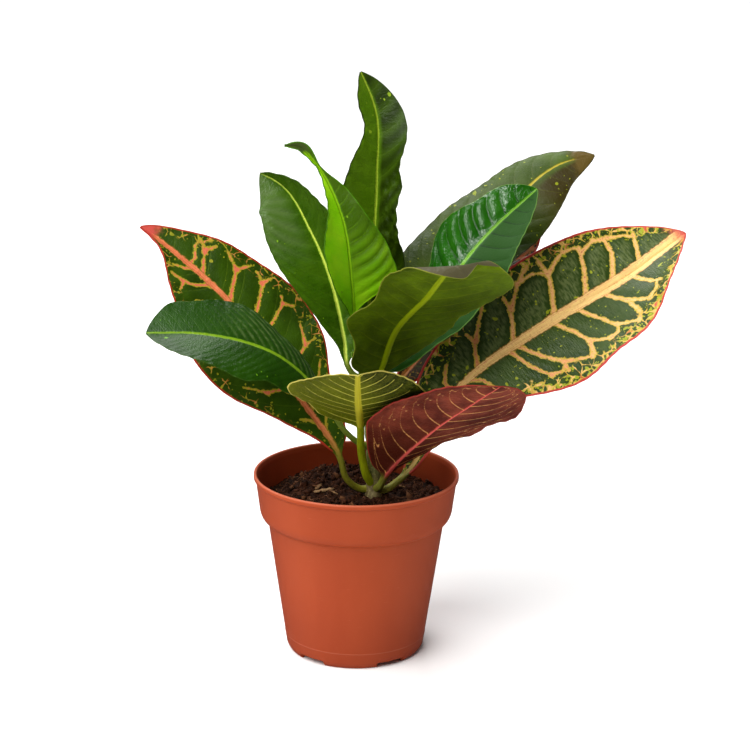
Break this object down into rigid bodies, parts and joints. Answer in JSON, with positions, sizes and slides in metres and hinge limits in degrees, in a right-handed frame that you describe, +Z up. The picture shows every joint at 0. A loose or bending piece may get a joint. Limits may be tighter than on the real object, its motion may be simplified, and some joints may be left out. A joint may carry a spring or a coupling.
{
  "type": "potted foliage plant",
  "caption": "Young croton with broad, waved and colourfully veined leaves on one short stem, in a round tapered plastic nursery pot filled with compost.",
  "frame": {"origin": "centre of the pot's flat base, on the surface it stands on", "axes": "+Z up along the pot's axis, +X to the right and +Y away from the viewer of the picture"},
  "size_m": [0.2835, 0.1685, 0.2922],
  "materials": {
    "pot_plastic": "satin",
    "compost": "matte",
    "stem_bark": "matte",
    "leaf_variegated": "satin",
    "leaf_green": "satin",
    "leaf_young": "satin",
    "leaf_dark": "satin",
    "leaf_olive": "matte",
    "leaf_maroon": "matte"
  },
  "bodies": {
    "root": {"pot": "pot_plastic", "soil": "compost", "stem": "stem_bark", "leaf_left_large": "leaf_variegated", "leaf_left_small": "leaf_green", "leaf_upper_left": "leaf_green", "leaf_lime": "leaf_young", "leaf_top": "leaf_green", "leaf_right_back": "leaf_dark", "leaf_right_quilted": "leaf_green", "leaf_back": "leaf_variegated", "leaf_right_large": "leaf_variegated", "leaf_centre": "leaf_olive", "leaf_front": "leaf_olive", "leaf_red": "leaf_maroon", "leaf_bud": "leaf_young"}
  },
  "joints": []
}
